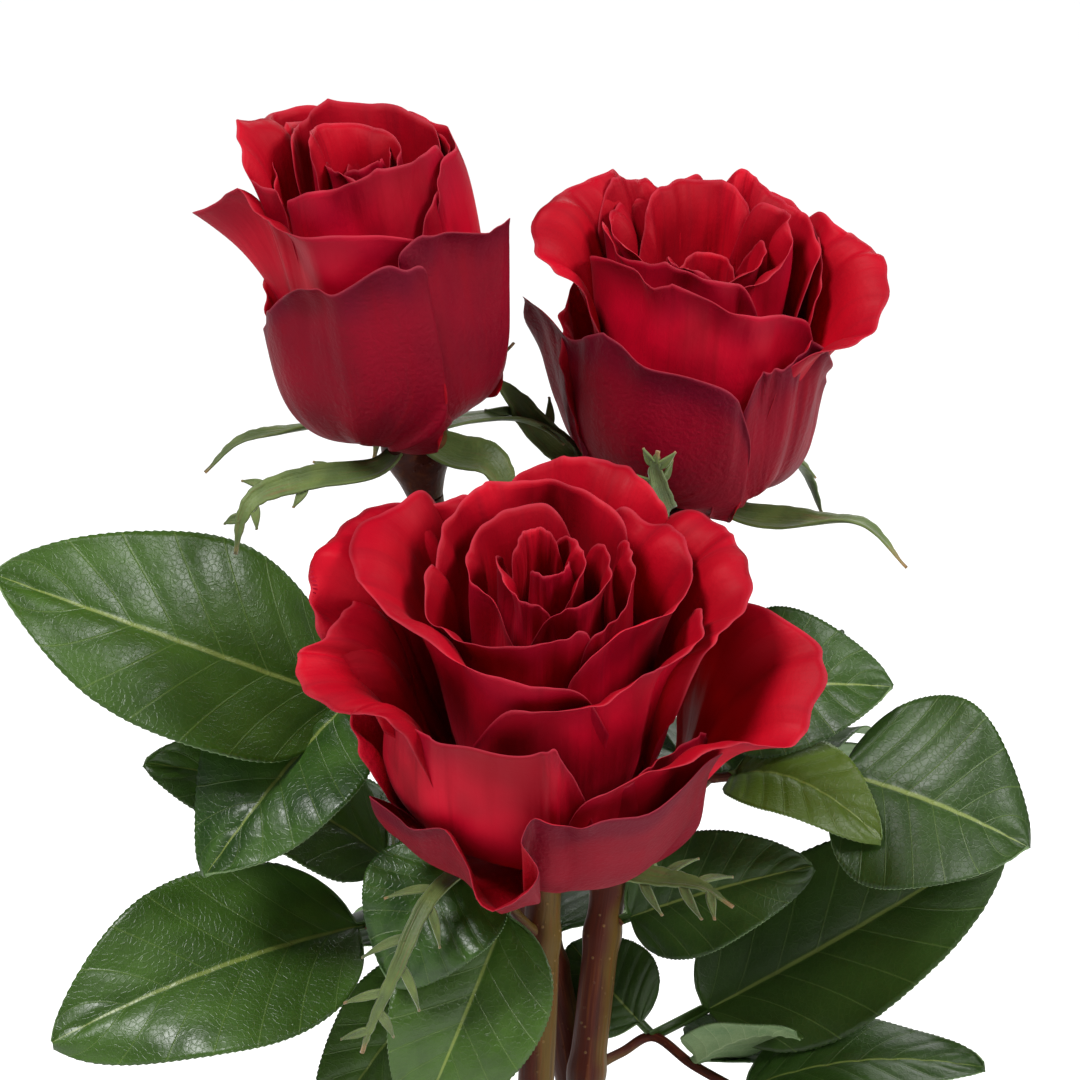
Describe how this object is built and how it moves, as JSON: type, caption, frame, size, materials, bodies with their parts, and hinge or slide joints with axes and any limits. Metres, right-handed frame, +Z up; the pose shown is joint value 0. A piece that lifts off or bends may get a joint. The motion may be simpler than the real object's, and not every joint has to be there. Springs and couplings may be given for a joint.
{
  "type": "roses in a vase",
  "caption": "Cut red roses with leafy stems, standing in a plain off-white glazed vase, for a table or shelf",
  "frame": {"origin": "centre of the vase's flat foot, on the surface it stands on", "axes": "+Z up, +X to the right seen from the front, -Y to the front, where the lowest rose looks"},
  "size_m": [0.1986, 0.1825, 0.3842],
  "materials": {
    "petal": "velvety",
    "leaf": "waxy gloss",
    "sepal": "satin",
    "stem": "waxy satin",
    "glaze": "gloss glaze"
  },
  "bodies": {
    "root": {"back_leaf_1": "leaf", "back_leaf_2": "leaf", "back_leaf_3": "leaf", "front_rose_calyx": "sepal", "front_rose_heart": "petal", "front_rose_leaf": "leaf", "front_rose_petal_01": "petal", "front_rose_petal_02": "petal", "front_rose_petal_03": "petal", "front_rose_petal_04": "petal", "front_rose_petal_05": "petal", "front_rose_petal_06": "petal", "front_rose_petal_07": "petal", "front_rose_petal_08": "petal", "front_rose_petal_09": "petal", "front_rose_petal_10": "petal", "front_rose_petal_11": "petal", "front_rose_petal_12": "petal", "front_rose_petal_13": "petal", "front_rose_petal_14": "petal", "front_rose_petal_15": "petal", "front_rose_petal_16": "petal", "front_rose_petal_17": "petal", "front_rose_stem": "stem", "left_rose_calyx": "sepal", "left_rose_heart": "petal", "left_rose_leaf_1": "leaf", "left_rose_leaf_2": "leaf", "left_rose_leaf_3": "leaf", "left_rose_petal_01": "petal", "left_rose_petal_02": "petal", "left_rose_petal_03": "petal", "left_rose_petal_04": "petal", "left_rose_petal_05": "petal", "left_rose_petal_06": "petal", "left_rose_petal_07": "petal", "left_rose_petal_08": "petal", "left_rose_petal_09": "petal", "left_rose_petal_10": "petal", "left_rose_petal_11": "petal", "left_rose_stem": "stem", "right_rose_calyx": "sepal", "right_rose_heart": "petal", "right_rose_leaf_1": "leaf", "right_rose_leaf_2": "leaf", "right_rose_leaf_3": "leaf", "right_rose_leaf_4": "leaf", "right_rose_petal_01": "petal", "right_rose_petal_02": "petal", "right_rose_petal_03": "petal", "right_rose_petal_04": "petal", "right_rose_petal_05": "petal", "right_rose_petal_06": "petal", "right_rose_petal_07": "petal", "right_rose_petal_08": "petal", "right_rose_petal_09": "petal", "right_rose_petal_10": "petal", "right_rose_petal_11": "petal", "right_rose_stem": "stem", "vase": "glaze"}
  },
  "joints": []
}
